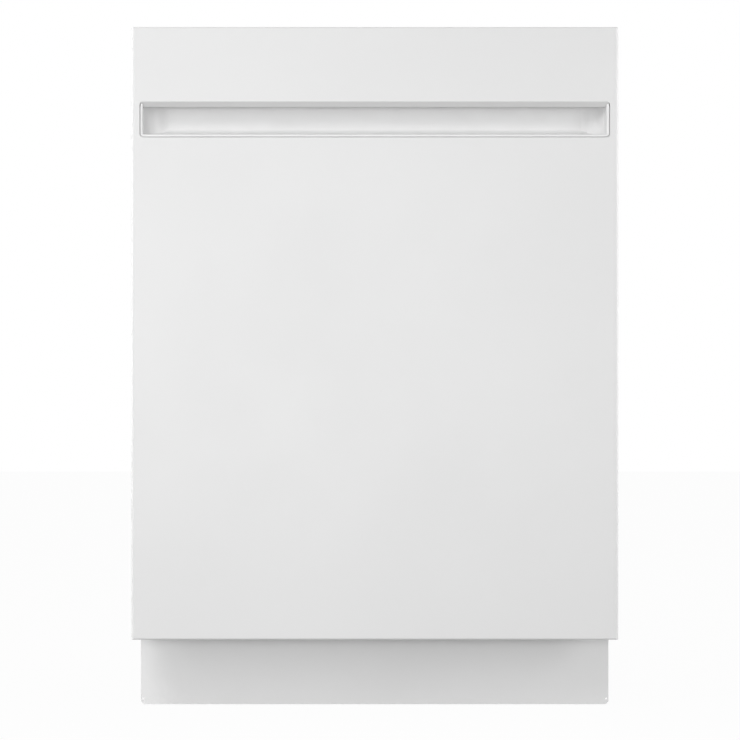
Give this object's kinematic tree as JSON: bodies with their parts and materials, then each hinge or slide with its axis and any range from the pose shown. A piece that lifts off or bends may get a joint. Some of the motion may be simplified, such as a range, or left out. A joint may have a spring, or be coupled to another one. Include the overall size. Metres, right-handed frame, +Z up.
{
  "type": "built-in dishwasher",
  "caption": "Full-width built-in dishwasher with plain front, pocket handle, hidden top keys, recessed toe kick, drop-down door, sliding wire racks, spray arms and levelling legs.",
  "frame": {"origin": "on the floor, below the middle of the object's box, with the door shut", "axes": "+Z up, -Y out of the door's face, +X to the viewer's right when facing the door"},
  "size_m": [0.603, 0.61, 0.848],
  "materials": {
    "painted_panel": "satin powder coat on formed sheet steel",
    "handle_insert": "satin moulded plastic in the panel's colour",
    "stainless_steel": "fine-brushed stainless sheet",
    "galvanised_steel": "galvanised, dull",
    "grey_moulding": "moulded polypropylene",
    "black_moulding": "moulded polypropylene, black",
    "light_moulding": "moulded polypropylene, light grey",
    "coated_wire": "nylon-coated steel wire",
    "console_plastic": "satin-gloss dark grey",
    "key_plastic": "gloss black keys",
    "rinse_cap_plastic": "blue moulded cap",
    "seal_rubber": "soft black rubber",
    "insulation_felt": "bonded felt blanket"
  },
  "bodies": {
    "cabinet": {"tub_wrap": "stainless_steel", "tub_back": "stainless_steel", "tub_floor": "grey_moulding", "door_sill": "grey_moulding", "door_gasket": "seal_rubber", "insulation_blanket": "insulation_felt", "base_pan": "black_moulding", "toe_kick": "painted_panel", "mounting_tab_left": "galvanised_steel", "mounting_tab_right": "galvanised_steel", "strike_plate": "stainless_steel", "hinge_bracket_left": "galvanised_steel", "hinge_bracket_right": "galvanised_steel", "outer_rail_left": "galvanised_steel", "outer_rail_right": "galvanised_steel", "sump": "grey_moulding", "coarse_filter": "stainless_steel", "wash_pump": "black_moulding", "drain_pump": "black_moulding", "heating_element": "stainless_steel", "feed_duct": "light_moulding", "inlet_valve": "light_moulding", "junction_box": "galvanised_steel"},
    "filter": {"filter_cup": "grey_moulding"},
    "float": {"overfill_float": "light_moulding"},
    "lower_arm": {"lower_spray_arm": "grey_moulding"},
    "foot_front_left": {"leg_front_left": "galvanised_steel"},
    "foot_front_right": {"leg_front_right": "galvanised_steel"},
    "foot_rear_left": {"leg_rear_left": "galvanised_steel"},
    "foot_rear_right": {"leg_rear_right": "galvanised_steel"},
    "middle_slides": {"middle_rail_left": "galvanised_steel", "middle_rail_right": "galvanised_steel"},
    "upper_basket": {"upper_rack": "coated_wire", "inner_rail_left": "galvanised_steel", "inner_rail_right": "galvanised_steel", "upper_feed_pipe": "light_moulding"},
    "upper_arm": {"upper_spray_arm": "grey_moulding"},
    "shelf": {"cup_shelf": "grey_moulding"},
    "lower_basket": {"lower_rack": "coated_wire"},
    "wheel_fl": {"wheel_front_left": "light_moulding"},
    "wheel_fr": {"wheel_front_right": "light_moulding"},
    "wheel_rl": {"wheel_rear_left": "light_moulding"},
    "wheel_rr": {"wheel_rear_right": "light_moulding"},
    "tine_row": {"folding_tines": "coated_wire"},
    "cutlery": {"silverware_basket": "grey_moulding"},
    "door": {"door_panel": "painted_panel", "pocket_handle": "handle_insert", "inner_door": "stainless_steel", "control_console": "console_plastic", "detergent_dispenser": "light_moulding", "hinge_arm_left": "galvanised_steel", "hinge_arm_right": "galvanised_steel", "bottom_seal": "seal_rubber"},
    "pawl": {"latch_pawl": "galvanised_steel"},
    "key_power": {"power_button": "key_plastic"},
    "key_cycle": {"cycle_button": "key_plastic"},
    "key_options": {"options_button": "key_plastic"},
    "key_start": {"start_button": "key_plastic"},
    "dispenser_lid": {"detergent_lid": "light_moulding"},
    "rinse_aid_cap": {"rinse_cap": "rinse_cap_plastic"}
  },
  "joints": [
    {"name": "door_hinge", "type": "hinge", "parent": "cabinet", "child": "door", "pos_m": [0, -0.268, 0.12], "axis": [1, 0, 0], "range_deg": [0, 90]},
    {"name": "upper_rack_slide", "type": "slide", "parent": "cabinet", "child": "upper_basket", "axis": [0, -1, 0], "range_m": [0, 0.455]},
    {"name": "middle_rail_slide", "type": "slide", "parent": "cabinet", "child": "middle_slides", "axis": [0, -1, 0], "range_m": [0, 0.23]},
    {"name": "lower_rack_slide", "type": "slide", "parent": "cabinet", "child": "lower_basket", "axis": [0, -1, 0], "range_m": [0, 0.48]},
    {"name": "wheel_fl_roll", "type": "hinge", "parent": "lower_basket", "child": "wheel_fl", "pos_m": [-0.252, -0.126, 0.1582], "axis": [1, 0, 0], "continuous": true},
    {"name": "wheel_fr_roll", "type": "hinge", "parent": "lower_basket", "child": "wheel_fr", "pos_m": [0.252, -0.126, 0.1582], "axis": [1, 0, 0], "continuous": true},
    {"name": "wheel_rl_roll", "type": "hinge", "parent": "lower_basket", "child": "wheel_rl", "pos_m": [-0.252, 0.165, 0.1582], "axis": [1, 0, 0], "continuous": true},
    {"name": "wheel_rr_roll", "type": "hinge", "parent": "lower_basket", "child": "wheel_rr", "pos_m": [0.252, 0.165, 0.1582], "axis": [1, 0, 0], "continuous": true},
    {"name": "lower_spray_spin", "type": "hinge", "parent": "cabinet", "child": "lower_arm", "pos_m": [0, 0.02, 0.16], "axis": [0, 0, 1], "continuous": true},
    {"name": "upper_spray_spin", "type": "hinge", "parent": "upper_basket", "child": "upper_arm", "pos_m": [0, 0.02, 0.452], "axis": [0, 0, 1], "continuous": true},
    {"name": "filter_twist", "type": "hinge", "parent": "cabinet", "child": "filter", "pos_m": [0.07, 0.02, 0.127], "axis": [0, 0, 1], "range_deg": [0, 60]},
    {"name": "float_lift", "type": "slide", "parent": "cabinet", "child": "float", "axis": [0, 0, 1], "range_m": [0, 0.008]},
    {"name": "cup_shelf_fold", "type": "hinge", "parent": "upper_basket", "child": "shelf", "pos_m": [-0.226, -0.017, 0.572], "axis": [0, -1, 0], "range_deg": [0, 84]},
    {"name": "tine_fold", "type": "hinge", "parent": "lower_basket", "child": "tine_row", "pos_m": [0, 0.08, 0.202], "axis": [-1, 0, 0], "range_deg": [0, 80]},
    {"name": "cutlery_lift", "type": "slide", "parent": "lower_basket", "child": "cutlery", "axis": [0, 0, 1], "range_m": [0, 0.09]},
    {"name": "pawl_swing", "type": "hinge", "parent": "door", "child": "pawl", "pos_m": [0, -0.28, 0.829], "axis": [-1, 0, 0], "range_deg": [0, 9], "stiffness_Nm_per_rad": 0.4, "springref_deg": -11.46},
    {"name": "detergent_lid_slide", "type": "slide", "parent": "door", "child": "dispenser_lid", "axis": [0, 0, -1], "range_m": [0, 0.072]},
    {"name": "rinse_cap_twist", "type": "hinge", "parent": "door", "child": "rinse_aid_cap", "pos_m": [0.045, -0.25, 0.465], "axis": [0, -1, 0], "range_deg": [0, 90]},
    {"name": "power_press", "type": "slide", "parent": "door", "child": "key_power", "axis": [0, 0, -1], "range_m": [0, 0.0015], "stiffness_N_per_m": 400},
    {"name": "cycle_press", "type": "slide", "parent": "door", "child": "key_cycle", "axis": [0, 0, -1], "range_m": [0, 0.0015], "stiffness_N_per_m": 400},
    {"name": "options_press", "type": "slide", "parent": "door", "child": "key_options", "axis": [0, 0, -1], "range_m": [0, 0.0015], "stiffness_N_per_m": 400},
    {"name": "start_press", "type": "slide", "parent": "door", "child": "key_start", "axis": [0, 0, -1], "range_m": [0, 0.0015], "stiffness_N_per_m": 400},
    {"name": "leg_front_left_level", "type": "slide", "parent": "cabinet", "child": "foot_front_left", "axis": [0, 0, -1], "range_m": [0, 0.025]},
    {"name": "leg_front_right_level", "type": "slide", "parent": "cabinet", "child": "foot_front_right", "axis": [0, 0, -1], "range_m": [0, 0.025]},
    {"name": "leg_rear_left_level", "type": "slide", "parent": "cabinet", "child": "foot_rear_left", "axis": [0, 0, -1], "range_m": [0, 0.025]},
    {"name": "leg_rear_right_level", "type": "slide", "parent": "cabinet", "child": "foot_rear_right", "axis": [0, 0, -1], "range_m": [0, 0.025]}
  ],
  "couplings": [
    {"joint": "upper_rack_slide", "follows": "door_hinge", "m_per_rad": 0.28648},
    {"joint": "middle_rail_slide", "follows": "door_hinge", "m_per_rad": 0.14324},
    {"joint": "lower_rack_slide", "follows": "door_hinge", "m_per_rad": 0.095493},
    {"joint": "wheel_fl_roll", "follows": "door_hinge", "ratio": 5.3052},
    {"joint": "wheel_fr_roll", "follows": "door_hinge", "ratio": 5.3052},
    {"joint": "wheel_rl_roll", "follows": "door_hinge", "ratio": 5.3052},
    {"joint": "wheel_rr_roll", "follows": "door_hinge", "ratio": 5.3052}
  ]
}
